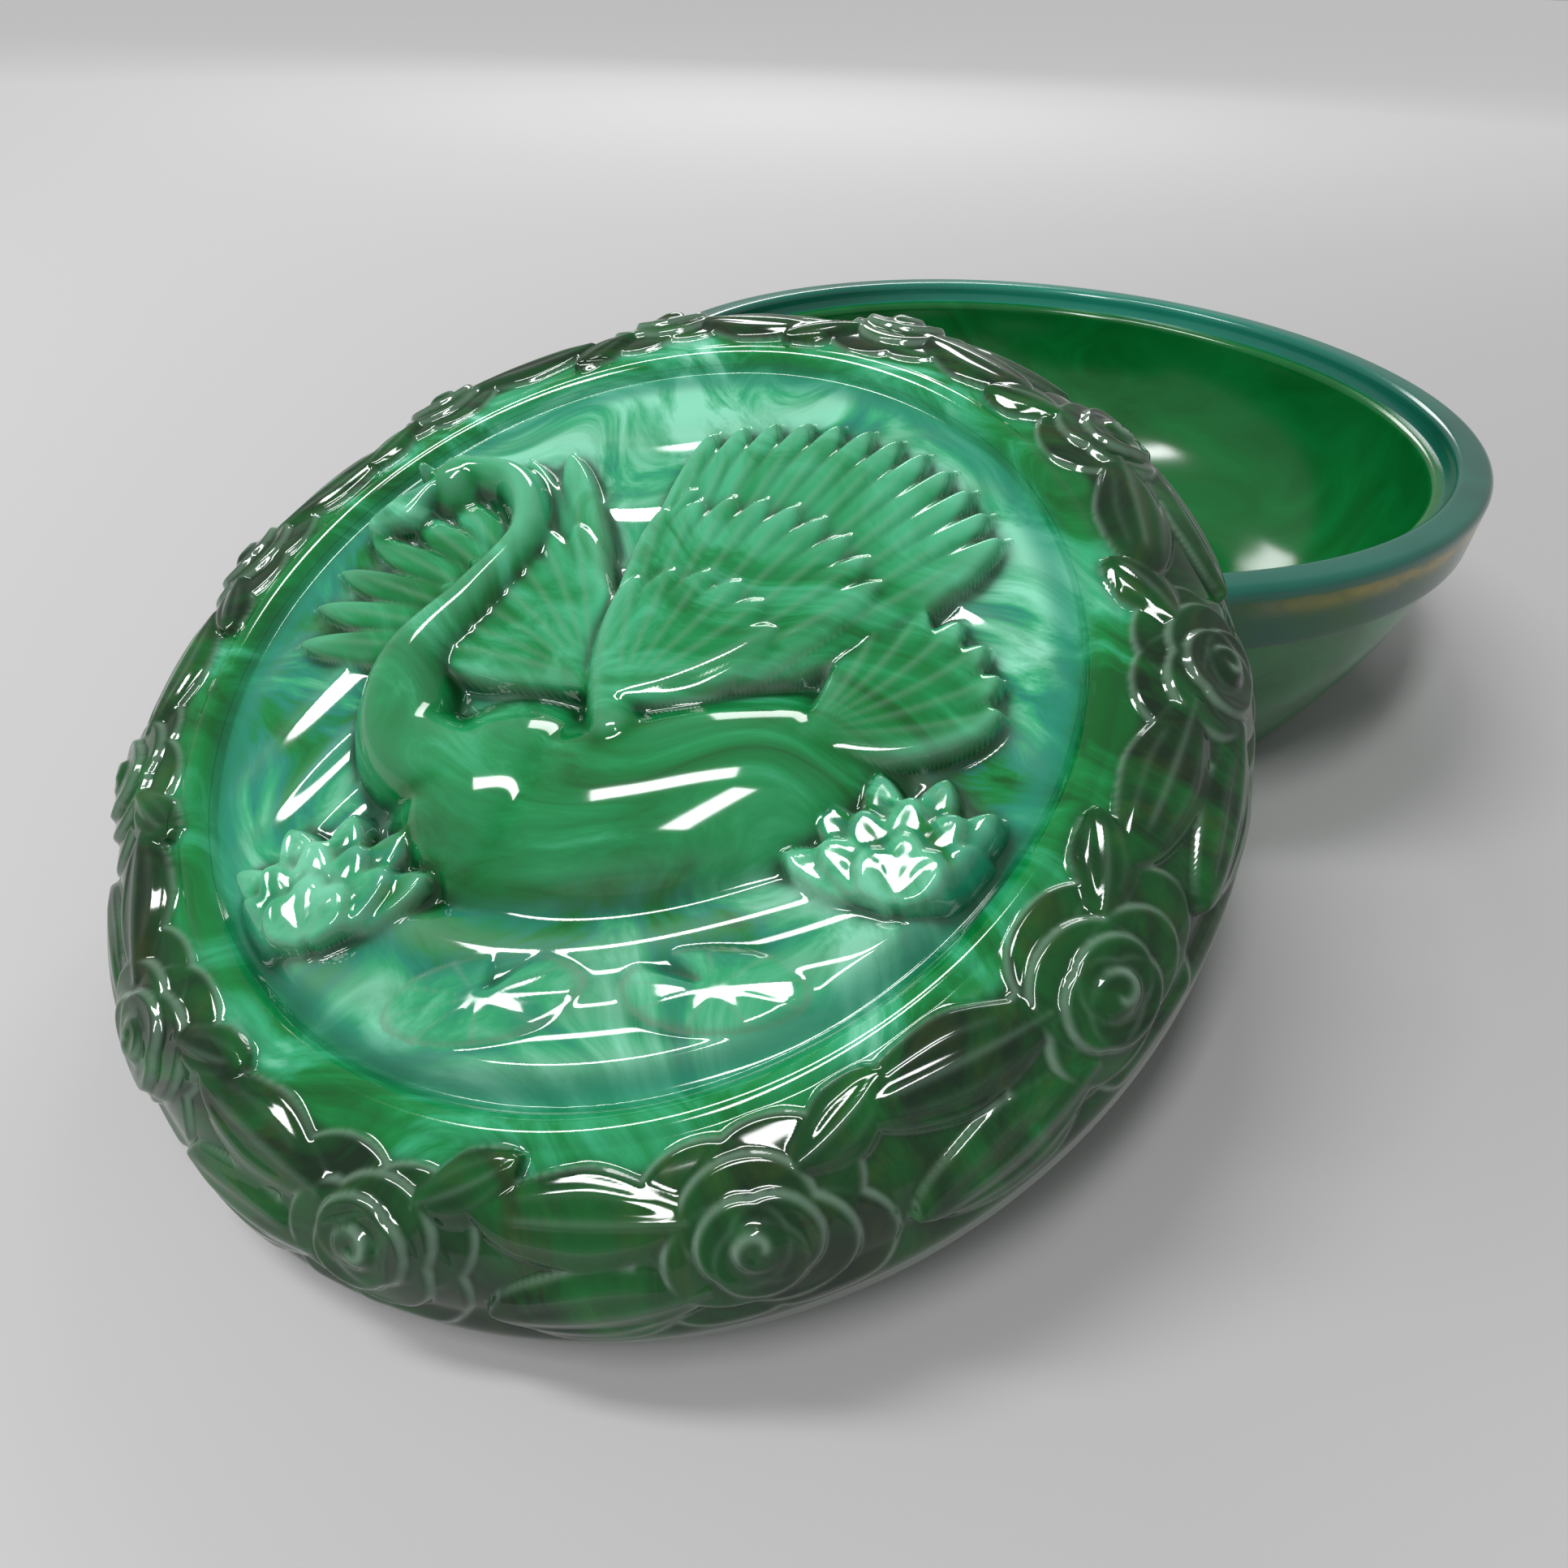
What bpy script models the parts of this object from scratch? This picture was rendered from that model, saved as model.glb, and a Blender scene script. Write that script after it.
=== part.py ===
"""Round pressed-glass box in two pieces: a bowl, and a relief lid that leans on the bowl's rim.

Metres, +Z up. The origin is the centre of the bowl's ground base. The lid stands on the table with
its low edge and rests on the bowl's rim, as a lid does when it is taken off and propped up.
"""

import math

import bmesh
import bpy
from mathutils import Matrix, Vector

# Bowl
RIM_RADIUS = 0.075            # outer radius of the rim and of the plain band below it
RIM_WIDTH = 0.0053            # flat top of the rim, outer edge to inner edge
RIM_ROUND = 0.0014            # rounding of the rim's outer edge
BOWL_HEIGHT = 0.0435          # base to rim
BAND_HEIGHT = 0.0094          # plain band below the rim
BAND_STEP = 0.0013            # how far the body sets back below the band
FOOT_RADIUS = 0.0618          # ground base
FOOT_ROUND = 0.0006           # bevel around the ground base
BODY_BULGE = 0.0016           # outward curve of the body between band and foot
FLOOR_THICKNESS = 0.0065      # glass under the inside
INSIDE_FLAT = 0.040           # radius of the level middle of the inside
SEAT_DEPTH = 0.0046           # straight inner wall that takes the lid's skirt
SEAT_LEDGE = 0.0024           # ledge under that wall, which carries the closed lid

# Lid
LID_CLEARANCE = 0.0006        # between the lid's skirt and the bowl's inner wall
LID_EDGE = 0.0045             # width of the lid's flat lower edge
EDGE_ROUND = 0.0008           # bevel on the lid's lower outer edge
SKIRT_HEIGHT = 0.0048         # plain skirt below the garland
SHOULDER_HEIGHT = 0.0165      # top of the garland's shoulder above the lid's edge
GARLAND_RADIUS = 0.0550       # inner edge of the garland
GARLAND_RISE = 0.0012         # step from the smooth ring up to the garland
RING_RISE = 0.0011            # crown of the smooth ring
FIELD_RADIUS = 0.0510         # medallion inside the ring
FIELD_EDGE = 0.0136           # height of the medallion's edge
FIELD_DISH = 0.0022           # how far the medallion sinks to its middle
LID_WALL = 0.0056             # glass between the medallion and the hollow underside
HOLLOW_CORNER = 0.011         # rounding between the hollow's wall and its ceiling

# Relief on the lid
ROSE_COUNT = 11               # roses around the shoulder
ROSE_PHASE = math.radians(-40.5)   # angle of the first rose
ROSE_LENGTH = 0.0216          # along the shoulder
ROSE_BREADTH = 0.0158         # across the shoulder
ROSE_RISE = 0.0015            # above the shoulder
LEAF_LENGTH = 0.0165          # pointed leaves, two between neighbouring roses
LEAF_BREADTH = 0.0074
LEAF_RISE = 0.0009
LEAF_SPREAD = math.radians(24.0)   # how far the two leaves of a pair open
MEDALLION_TURN = math.radians(35.0)    # how far the medallion is turned on the lid
SWAN_RISE = 0.0076            # highest relief above the medallion
NECK_THICKNESS = 0.0082       # swan's neck below its head
WATER_LINE = -0.59            # pond's edge on the medallion, in shares of its radius
WATER_SHARE = 0.23            # pond's rise, in shares of the swan's
EDGE_SLOPE = 8.0              # how steeply a mass drops at its edge, share of rise per share of radius
RELIEF_STEPS = 46             # cells across the medallion

# How the lid leans
LEAN_TILT = math.radians(22.6)         # lid's edge against the table
LEAN_DIRECTION = math.radians(-90.0)   # from the bowl's axis to the lid's middle
REST_CLEARANCE = 0.0003       # between the lid and the bowl's rim

TURN_STEPS = 64               # facets around each turned piece
ARC_POINTS = 7                # points on a rounded stretch of a profile


def clear_scene():
    """Remove every object that the file starts with."""
    for obj in list(bpy.data.objects):
        bpy.data.objects.remove(obj, do_unlink=True)


def collection(name):
    """Make a collection in the scene."""
    made = bpy.data.collections.new(name)
    bpy.context.scene.collection.children.link(made)
    return made


def glass(name, colour, roughness):
    """Opaque coloured glass."""
    material = bpy.data.materials.new(name)
    material.use_nodes = True
    shader = material.node_tree.nodes["Principled BSDF"]
    shader.inputs["Base Color"].default_value = (*colour, 1.0)
    shader.inputs["Roughness"].default_value = roughness
    shader.inputs["Metallic"].default_value = 0.0
    material.diffuse_color = (*colour, 1.0)
    return material


def arc(centre, axes, start, end, points=ARC_POINTS):
    """Points of an elliptic arc in the profile plane, angles in degrees from +X."""
    found = []
    for step in range(points):
        angle = math.radians(start + (end - start) * step / (points - 1))
        found.append((centre[0] + axes[0] * math.cos(angle), centre[1] + axes[1] * math.sin(angle)))
    return found


def turned(name, profile, home, material):
    """Turn a profile, given as radius and height from the axis over the outside to the axis."""
    points = [(radius, 0.0, height) for radius, height in profile]
    edges = [(i, i + 1) for i in range(len(points) - 1)]
    mesh = bpy.data.meshes.new(name)
    mesh.from_pydata(points, edges, [])
    obj = bpy.data.objects.new(name, mesh)
    home.objects.link(obj)
    mesh.materials.append(material)
    screw = obj.modifiers.new("turn", "SCREW")
    screw.axis = "Z"
    screw.steps = TURN_STEPS
    screw.render_steps = TURN_STEPS
    screw.use_merge_vertices = True
    screw.merge_threshold = 0.00005
    screw.use_smooth_shade = True
    return obj


def bowl_profile():
    """Inside from the axis up to the rim, over the rim, down the band and body, and the base."""
    seat_radius = RIM_RADIUS - RIM_WIDTH
    ledge_radius = seat_radius - SEAT_LEDGE
    ledge_height = BOWL_HEIGHT - SEAT_DEPTH
    dish = (ledge_radius - INSIDE_FLAT, ledge_height - FLOOR_THICKNESS)
    points = [(0.0, FLOOR_THICKNESS)]
    points += arc((INSIDE_FLAT, ledge_height), dish, -90, 0)
    points += [(seat_radius, ledge_height), (seat_radius, BOWL_HEIGHT)]
    points += arc((RIM_RADIUS - RIM_ROUND, BOWL_HEIGHT - RIM_ROUND), (RIM_ROUND, RIM_ROUND), 90, 0, 4)
    band_foot = BOWL_HEIGHT - BAND_HEIGHT
    body_top = RIM_RADIUS - BAND_STEP
    points += [(RIM_RADIUS, band_foot + RIM_ROUND / 2), (RIM_RADIUS - RIM_ROUND / 2, band_foot)]
    for step in range(ARC_POINTS):
        share = step / (ARC_POINTS - 1)
        radius = body_top + (FOOT_RADIUS - body_top) * share + BODY_BULGE * math.sin(math.pi * share)
        points.append((radius, band_foot + (FOOT_ROUND - band_foot) * share))
    points += [(FOOT_RADIUS - FOOT_ROUND, 0.0), (0.0, 0.0)]
    return points


def field_height(radius):
    """Height of the dished medallion above the lid's edge."""
    return FIELD_EDGE - FIELD_DISH * (1.0 - (radius / FIELD_RADIUS) ** 2)


def shoulder_axes():
    """Half-widths of the quarter ellipse that the garland lies on."""
    return (lid_radius() - GARLAND_RADIUS, SHOULDER_HEIGHT - SKIRT_HEIGHT)


def lid_radius():
    """Outer radius of the lid, whose skirt drops inside the bowl's rim."""
    return RIM_RADIUS - RIM_WIDTH - LID_CLEARANCE


def lid_profile():
    """Medallion, ring, garland shoulder and skirt from the axis outwards, then edge and hollow."""
    points = []
    for step in range(ARC_POINTS):
        radius = FIELD_RADIUS * step / (ARC_POINTS - 1)
        points.append((radius, field_height(radius)))
    ring_width = GARLAND_RADIUS - FIELD_RADIUS
    ring_end = SHOULDER_HEIGHT - GARLAND_RISE
    for step in range(1, ARC_POINTS):
        share = step / (ARC_POINTS - 1)
        height = FIELD_EDGE + (ring_end - FIELD_EDGE) * share + RING_RISE * math.sin(math.pi * share)
        points.append((FIELD_RADIUS + ring_width * share, height))
    points += arc((GARLAND_RADIUS, SKIRT_HEIGHT), shoulder_axes(), 86, 0, 9)
    outer = lid_radius()
    inner = outer - LID_EDGE
    points += [(outer, EDGE_ROUND), (outer - EDGE_ROUND, 0.0)]
    ceiling = field_height(0.0) - LID_WALL
    points += arc((inner - HOLLOW_CORNER, 0.0), (HOLLOW_CORNER, ceiling), 0, 90)
    points.append((0.0, ceiling))
    return points


def form(name, matrix, home, segments=(12, 7)):
    """A smooth dome for the relief: a sphere of radius 1 put through a matrix."""
    mesh = bpy.data.meshes.new(name)
    cage = bmesh.new()
    bmesh.ops.create_uvsphere(cage, u_segments=segments[0], v_segments=segments[1], radius=1.0)
    bmesh.ops.transform(cage, matrix=matrix, verts=cage.verts)
    cage.to_mesh(mesh)
    cage.free()
    return keep_form(name, mesh, home)


def keep_form(name, mesh, home):
    """Keep a relief form as a hidden helper that the lid is united with."""
    obj = bpy.data.objects.new(name, mesh)
    home.objects.link(obj)
    obj.hide_render = True
    obj.display_type = "WIRE"
    return obj


def shoulder_frame(angle, slope):
    """Place on the shoulder: X along the garland, Y up across it, Z out of the glass."""
    half_run, half_rise = shoulder_axes()
    radial = Vector((math.cos(angle), math.sin(angle), 0.0))
    up = Vector((0.0, 0.0, 1.0))
    point = radial * (GARLAND_RADIUS + half_run * math.cos(slope))
    point += up * (SKIRT_HEIGHT + half_rise * math.sin(slope))
    out = (radial * (math.cos(slope) / half_run) + up * (math.sin(slope) / half_rise)).normalized()
    along = Vector((-math.sin(angle), math.cos(angle), 0.0))
    across = out.cross(along)
    frame = Matrix((along, across, out)).transposed().to_4x4()
    frame.translation = point
    return frame


def dome(length, breadth, rise, sunk):
    """Flattened sphere that stands a rise above the surface and reaches a depth below it."""
    height = (rise + sunk) / 2
    shape = Matrix.Diagonal((length / 2, breadth / 2, height, 1.0))
    return Matrix.Translation((0.0, 0.0, rise - height)) @ shape


def garland(home):
    """Roses around the shoulder with a pair of pointed leaves between neighbours."""
    pitch = 2 * math.pi / ROSE_COUNT
    middle = math.radians(53.0)
    for i in range(ROSE_COUNT):
        angle = ROSE_PHASE + pitch * i
        sunk = shoulder_axes()[1] / 2
        place = shoulder_frame(angle, middle)
        form(f"rose_{i}", place @ dome(ROSE_LENGTH, ROSE_BREADTH, ROSE_RISE, sunk), home)
        for side in (-1, 1):
            place = shoulder_frame(angle + pitch / 2, middle + side * LEAF_SPREAD)
            shape = dome(LEAF_LENGTH, LEAF_BREADTH, LEAF_RISE, sunk / 2)
            form(f"leaf_{i}_{side + 1}", place @ shape, home, (8, 6))


def mass(place, centre, axes, turn=0.0):
    """Rounded mass: 1 in the middle of an ellipse, 0 at its edge and below 0 outside."""
    gap = Matrix.Rotation(math.radians(-turn), 2) @ (place - Vector(centre))
    return 1.0 - min(math.hypot(gap.x / axes[0], gap.y / axes[1]), 2.0) ** 2.3


def fan(place, base, first, last, reach, root, tip):
    """Spread feathers or petals: a slope from root to tip that drops steeply past its sides and end."""
    gap = Matrix.Rotation(math.radians(-(first + last) / 2), 2) @ (place - Vector(base))
    aside = abs(math.atan2(gap.y, gap.x)) - math.radians(last - first) / 2
    outside = max(gap.length - reach, aside * gap.length, 0.0)
    return root + (tip - root) * gap.length / reach - EDGE_SLOPE * outside


def limb(place, path, half, root, tip):
    """Rounded limb along chosen points, thinner and lower towards its end."""
    best = -1.0
    steps = len(path) - 1
    for i in range(steps):
        start = Vector(path[i])
        run = Vector(path[i + 1]) - start
        along = min(max((place - start).dot(run) / run.length_squared, 0.0), 1.0)
        share = (i + along) / steps
        gap = (place - start - run * along).length / (half[0] + (half[1] - half[0]) * share)
        best = max(best, (root + (tip - root) * share) * (1.0 - min(gap, 1.5) ** 2.3))
    return best


def swan_height(place):
    """The swan as plain masses, in shares of SWAN_RISE, at a place in shares of FIELD_RADIUS."""
    neck_half = NECK_THICKNESS / 2 / FIELD_RADIUS
    neck = [(-0.28, -0.30), (-0.50, -0.16), (-0.53, 0.06), (-0.39, 0.25), (-0.28, 0.43), (-0.33, 0.62),
            (-0.48, 0.69)]
    arm = [(0.02, -0.24), (-0.01, 0.02), (0.05, 0.26), (0.15, 0.47)]
    return max(
        fan(place, (-0.06, -0.08), 97, 156, 0.83, 0.54, 0.24),          # far wing
        fan(place, (0.04, -0.17), 17, 85, 0.88, 0.97, 0.36),            # near wing
        limb(place, arm, (0.11, 0.07), 1.0, 0.60),                      # arm of the near wing
        fan(place, (0.42, -0.30), 0, 62, 0.38, 0.62, 0.33),            # tail
        mass(place, (0.10, -0.37), (0.56, 0.29), 3),                    # body
        0.92 * mass(place, (-0.26, -0.31), (0.27, 0.27)),               # breast
        limb(place, neck, (2 * neck_half, neck_half), 0.91, 0.72),
        0.76 * mass(place, (-0.50, 0.66), (0.13, 0.096), 24),           # head
        0.55 * mass(place, (-0.62, 0.58), (0.13, 0.06), 34),            # bill
    )


def pond_height(place):
    """Relief of the medallion in shares of SWAN_RISE; a little below 0 where the field is bare.

    The swan floats in the pond up to a level line, with a lily on either side.
    """
    above = max(place.y - WATER_LINE, 0.0)
    swan = min(swan_height(place), WATER_SHARE + EDGE_SLOPE * above)
    height = max(
        swan,
        WATER_SHARE - EDGE_SLOPE * above,
        fan(place, (-0.60, -0.63), 30, 170, 0.24, 0.60, 0.46),
        fan(place, (0.58, -0.67), 8, 148, 0.225, 0.60, 0.46),
    )
    return max(height - EDGE_SLOPE * max(place.length - 0.94, 0.0), -0.08)


def medallion(home):
    """The relief as one helper: a square grid drawn out to a disc, raised, and closed below.

    The square (a, b) goes to the disc by x = a sqrt(1 - b^2/2), y = b sqrt(1 - a^2/2).
    """
    turn = Matrix.Rotation(MEDALLION_TURN, 2)
    steps = RELIEF_STEPS
    cage = bmesh.new()
    rows = []
    for i in range(steps + 1):
        rows.append([])
        for j in range(steps + 1):
            a, b = 2 * j / steps - 1, 2 * i / steps - 1
            place = Vector((a * math.sqrt(1 - b * b / 2), b * math.sqrt(1 - a * a / 2)))
            spot = turn @ place * FIELD_RADIUS
            height = field_height(spot.length) + SWAN_RISE * pond_height(place)
            rows[i].append(cage.verts.new((spot.x, spot.y, height)))
    for i in range(steps):
        for j in range(steps):
            cage.faces.new((rows[i][j], rows[i][j + 1], rows[i + 1][j + 1], rows[i + 1][j]))
    border = [edge for edge in cage.edges if edge.is_boundary]
    made = bmesh.ops.extrude_edge_only(cage, edges=border)["geom"]
    lower = [vert for vert in made if isinstance(vert, bmesh.types.BMVert)]
    for vert in lower:
        vert.co.z = field_height(0.0) - LID_WALL / 2
    bmesh.ops.contextual_create(cage, geom=[edge for edge in cage.edges if edge.is_boundary])
    bmesh.ops.recalc_face_normals(cage, faces=cage.faces)
    mesh = bpy.data.meshes.new("pond")
    cage.to_mesh(mesh)
    cage.free()
    keep_form("pond", mesh, home)


def lean():
    """Where the lid stands: its low edge on the table, its underside just clear of the bowl's rim.

    The lid slides towards the bowl along its lean until one of the two rings of its lower edge, where
    it passes over the rim, is a clearance above it.
    """
    sine, cosine = math.sin(LEAN_TILT), math.cos(LEAN_TILT)
    edges = [(lid_radius() - EDGE_ROUND, 0.0), (lid_radius() - LID_EDGE, 0.0)]
    corners = edges + [(lid_radius(), EDGE_ROUND)]
    lift = max(radius * sine - height * cosine for radius, height in corners)
    samples = []
    for radius, height in edges:
        for step in range(720):
            turn = 2 * math.pi * step / 720
            along, sideways = radius * math.cos(turn), radius * math.sin(turn)
            samples.append((along * cosine + height * sine, sideways, lift + height * cosine - along * sine))
    near, far = 0.0, 3 * RIM_RADIUS
    for _ in range(40):
        offset = (near + far) / 2
        reach = RIM_RADIUS + REST_CLEARANCE
        over = [up for out, side, up in samples if math.hypot(out + offset, side) < reach]
        if over and min(over) < BOWL_HEIGHT + REST_CLEARANCE:
            near = offset
        else:
            far = offset
    turn = Matrix.Rotation(LEAN_DIRECTION, 4, "Z")
    tilt = Matrix.Rotation(LEAN_TILT, 4, "Y")
    return Matrix.Translation(turn @ Vector((far, 0.0, lift))) @ turn @ tilt @ turn.inverted()


def build():
    """Bowl and lid, each one solid."""
    clear_scene()
    parts = collection("malachite_glass_box")
    helpers = collection("relief_forms")
    bowl_glass = glass("bowl_glass", (0.010, 0.150, 0.070), 0.08)
    lid_glass = glass("lid_glass", (0.020, 0.260, 0.120), 0.08)
    turned("bowl", bowl_profile(), parts, bowl_glass)
    lid = turned("lid", lid_profile(), parts, lid_glass)
    garland(helpers)
    medallion(helpers)
    union = lid.modifiers.new("relief", "BOOLEAN")
    union.operation = "UNION"
    union.solver = "EXACT"
    union.operand_type = "COLLECTION"
    union.collection = helpers
    stand = lean()
    lid.matrix_world = stand
    for helper in helpers.objects:
        helper.matrix_world = stand


build()
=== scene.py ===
"""Looks of a round malachite-glass box: a smooth bowl and a relief lid that leans on its rim.

Every piece is a surface worked out with numpy. The lid's relief is a height over its own plane: a
rose garland on the shoulder and a swan among water lilies in the medallion.
"""

import math

import bpy
import numpy as np
from mathutils import Matrix, Vector


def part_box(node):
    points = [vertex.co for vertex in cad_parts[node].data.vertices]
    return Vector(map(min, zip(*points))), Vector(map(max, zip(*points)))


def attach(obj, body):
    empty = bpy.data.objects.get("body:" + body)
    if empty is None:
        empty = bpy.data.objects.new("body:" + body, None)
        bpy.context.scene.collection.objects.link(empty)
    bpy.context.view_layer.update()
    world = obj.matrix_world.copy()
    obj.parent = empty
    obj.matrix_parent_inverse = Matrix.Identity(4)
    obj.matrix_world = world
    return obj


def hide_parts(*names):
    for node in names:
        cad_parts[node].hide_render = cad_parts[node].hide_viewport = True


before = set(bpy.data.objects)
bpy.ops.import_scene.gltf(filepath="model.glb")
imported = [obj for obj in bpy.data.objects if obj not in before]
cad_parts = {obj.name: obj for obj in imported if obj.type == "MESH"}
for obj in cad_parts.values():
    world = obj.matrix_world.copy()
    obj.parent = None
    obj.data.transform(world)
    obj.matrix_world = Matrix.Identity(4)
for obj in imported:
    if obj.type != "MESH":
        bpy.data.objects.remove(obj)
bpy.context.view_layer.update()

bl_info = {
    "name": "Malachite Glass Box",
    "version": (1, 0, 0),
    "blender": (4, 5, 0),
    "location": "View3D > Sidebar > Glass Box",
    "description": "Builds the visible surfaces of a round malachite-glass box with a relief lid",
    "category": "Add Mesh",
}

BOWL_LOW, BOWL_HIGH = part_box("bowl")
PHOTO_SIDE = 1932
SENSOR_WIDTH = 36.0
MM = 0.001

# Grids: points of the relief per grid step of the medallion, smoothing passes of the relief, of its pale
# edges and of the mean that grooves lie below, and steps past the ends of a garland quarter, whose
# smoothing then meets its neighbour's
FINER = 2
MELT_PASSES = 3
EDGE_PASSES = 2
GROOVE_PASSES = 40
SEAM_EXTRA = 16

# Relief, in millimetres: how far apart two forms start to show one another, the fillet where they meet,
# and the step that counts as a full groove
LAY_REACH = 0.12
LAY_FILLET = 0.10
GROOVE_DEPTH = 0.5

# Surfaces: share of the field's radius at the seam of the lid's pieces, scale of the flow that the swirl
# follows, unevenness of the pressed bowl, and the angles past which the edges stay sharp
SEAM_SHARE = 1.012
FLOW_SCALE = 10.0
BOWL_WAVES = ((2, 0.6, 0.00004), (5, 0.0, 0.00002))
BOWL_INSET = 0.00006
LID_CREASE = math.radians(75)
BOWL_CREASE = math.radians(50)
GARLAND_PIECES = ("lid_garland_front", "lid_garland_right", "lid_garland_back", "lid_garland_left")

# Glass: its index of refraction, what the swirl group puts out, and the ends of a plain mask
GLASS_IOR = 1.52
SWIRL_OUTPUTS = ("Streak", "Patch", "Fleck")
BLACK = (0.0, 0.0, 0.0)
WHITE = (1.0, 1.0, 1.0)

# Stage: half side and drop of the floor, where its far glow starts and is full, and the lamps with
# their setting, size and place
FLOOR_REACH = 6.0
FLOOR_DROP = 0.0002
GLOW_START = 0.1
GLOW_FULL = 1.0
LAMP_AIM = (0.0, -0.06, 0.02)
LAMPS = (
    ("front_left_lamp", "key", (0.11, 0.42), (-0.30, -0.25, 0.75)),
    ("front_right_lamp", "key", (0.11, 0.42), (0.02, -0.48, 0.78)),
    ("back_lamp", "back", (0.50, 0.22), (-0.55, 0.70, 0.55)),
)


def length(name, description, default):
    """A length property in metres."""
    return bpy.props.FloatProperty(name=name, description=description, default=default,
                                   unit="LENGTH", precision=5)


def angle(name, description, degrees):
    """An angle property, given here in degrees."""
    return bpy.props.FloatProperty(name=name, description=description, subtype="ANGLE",
                                   default=math.radians(degrees))


def colour(name, description, default):
    """A colour property."""
    return bpy.props.FloatVectorProperty(name=name, description=description, default=default, size=3,
                                         subtype="COLOR", min=0.0, max=1.0)


def amount(name, description, default):
    """A plain number property."""
    return bpy.props.FloatProperty(name=name, description=description, default=default)


class BowlSettings(bpy.types.PropertyGroup):
    """Sizes of the bowl."""
    rim_radius: length("Rim radius", "Outer radius of the rim", (BOWL_HIGH[0] - BOWL_LOW[0]) / 2)
    rim_width: length("Rim width", "Flat top of the rim", 0.0053)
    rim_round: length("Rim rounding", "Rounding of the rim's outer edge", 0.0014)
    height: length("Height", "Base to rim", BOWL_HIGH[2] - BOWL_LOW[2])
    band_height: length("Band height", "Plain band below the rim", 0.0094)
    band_step: length("Band step", "How far the body sets back below the band", 0.0013)
    foot_radius: length("Foot radius", "Ground base", 0.0618)
    foot_round: length("Foot rounding", "Bevel around the ground base", 0.0006)
    body_bulge: length("Body bulge", "Outward curve of the body", 0.0016)
    floor_thickness: length("Floor thickness", "Glass under the inside", 0.0065)
    inside_flat: length("Inside flat", "Radius of the level middle of the inside", 0.030)
    seat_depth: length("Seat depth", "Straight inner wall that takes the lid's skirt", 0.0046)
    seat_ledge: length("Seat ledge", "Ledge under that wall, which carries the closed lid", 0.0024)
    # The streak that the next four settings place on the band is a painted glint of warm yellow light.
    gold_start: angle("Gold start", "Bearing where the gold streak on the band starts", -55.0)
    gold_end: angle("Gold end", "Bearing where the gold streak on the band ends", 6.0)
    gold_drop: length("Gold drop", "Middle of the gold streak below the rim", 0.0029)
    gold_height: length("Gold height", "Half of the gold streak's height", 0.0015)


class LidSettings(bpy.types.PropertyGroup):
    """Sizes of the lid and how it leans."""
    tilt: angle("Tilt", "Lid's edge against the table", 22.6)
    direction: angle("Direction", "From the bowl's axis to the lid's middle", -90.0)
    clearance: length("Clearance", "Between the skirt and the bowl's inner wall", 0.0006)
    edge_width: length("Edge width", "Flat lower edge", 0.0045)
    edge_round: length("Edge rounding", "Bevel on the lower outer edge", 0.0008)
    skirt_height: length("Skirt height", "Plain skirt below the garland", 0.0048)
    shoulder_height: length("Shoulder height", "Top of the shoulder above the lid's edge", 0.0165)
    garland_radius: length("Garland radius", "Inner edge of the garland", 0.0550)
    garland_sink: length("Garland ground", "Ground between the flowers below the shoulder", 0.0013)
    ring_rise: length("Ring rise", "Crown of the smooth ring", 0.0011)
    field_radius: length("Field radius", "Medallion inside the ring", 0.0510)
    field_edge: length("Field edge", "Height of the medallion's edge", 0.0136)
    field_dish: length("Field dish", "How far the medallion sinks to its middle", 0.0022)
    wall: length("Wall", "Glass over the hollow underside", 0.0056)
    hollow_corner: length("Hollow corner", "Rounding of the hollow's ceiling", 0.011)
    rose_count: bpy.props.IntProperty(name="Roses", description="Roses in the garland", default=11)
    rose_phase: angle("Rose phase", "Angle of the first rose", -40.5)
    medallion_turn: angle("Medallion turn", "Turn of the medallion on the lid", 35.0)


class GlassSettings(bpy.types.PropertyGroup):
    """Colours of the malachite glass."""
    mint: colour("Mint", "Pale milky streaks", (0.22, 0.62, 0.43))
    jade: colour("Jade", "Between mint and emerald", (0.030, 0.340, 0.155))
    emerald: colour("Emerald", "Middle green", (0.002, 0.190, 0.040))
    deep: colour("Deep green", "Thick raised glass", (0.0008, 0.090, 0.013))
    bottle: colour("Bottle green", "Dark glass of the garland", (0.0006, 0.016, 0.003))
    teal: colour("Teal", "Bluish streaks", (0.014, 0.215, 0.150))
    rim: colour("Rim teal", "Dark bluish rim of the bowl", (0.006, 0.085, 0.060))
    olive: colour("Olive", "Yellow-green flecks", (0.060, 0.075, 0.003))
    # Painted glint: the warm yellow of light glinting on the bowl's band.
    gold: colour("Gold", "Yellow streak below the bowl's rim", (0.440, 0.320, 0.030))
    # Pale edges of the relief: wear together with painted highlight along them.
    ridge: colour("Ridge", "Pale worn edges of the petals", (0.17, 0.27, 0.20))
    roughness: amount("Roughness", "Gloss of the lid's fire-polished glass", 0.075)
    bowl_roughness: amount("Bowl roughness", "Softer gloss of the plain bowl", 0.16)


class StageSettings(bpy.types.PropertyGroup):
    """Floor, lamps and camera."""
    floor: colour("Floor", "Plain pale floor", (0.44, 0.44, 0.44))
    far: amount("Far floor", "Glow that keeps the far floor as pale as the near one", 0.37)
    backdrop: amount("Backdrop", "Paleness of the space behind the floor", 0.38)
    world: amount("World", "Strength of the even light", 0.26)
    key: amount("Key", "Power of the two front lamps in watts", 3.6)
    back: amount("Back", "Power of the lamp behind in watts", 3.2)
    focal: amount("Focal length", "Focal length in pixels of the photograph", 1236.0)
    azimuth: angle("Azimuth", "Camera's heading from +Y towards +X", -34.72)
    elevation: angle("Elevation", "Camera's downward look", 40.06)
    roll: angle("Roll", "Camera's roll", 2.07)
    place: bpy.props.FloatVectorProperty(name="Place", description="Camera's place", size=3,
                                         unit="LENGTH", default=(0.0717, -0.1766, 0.1038))


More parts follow.
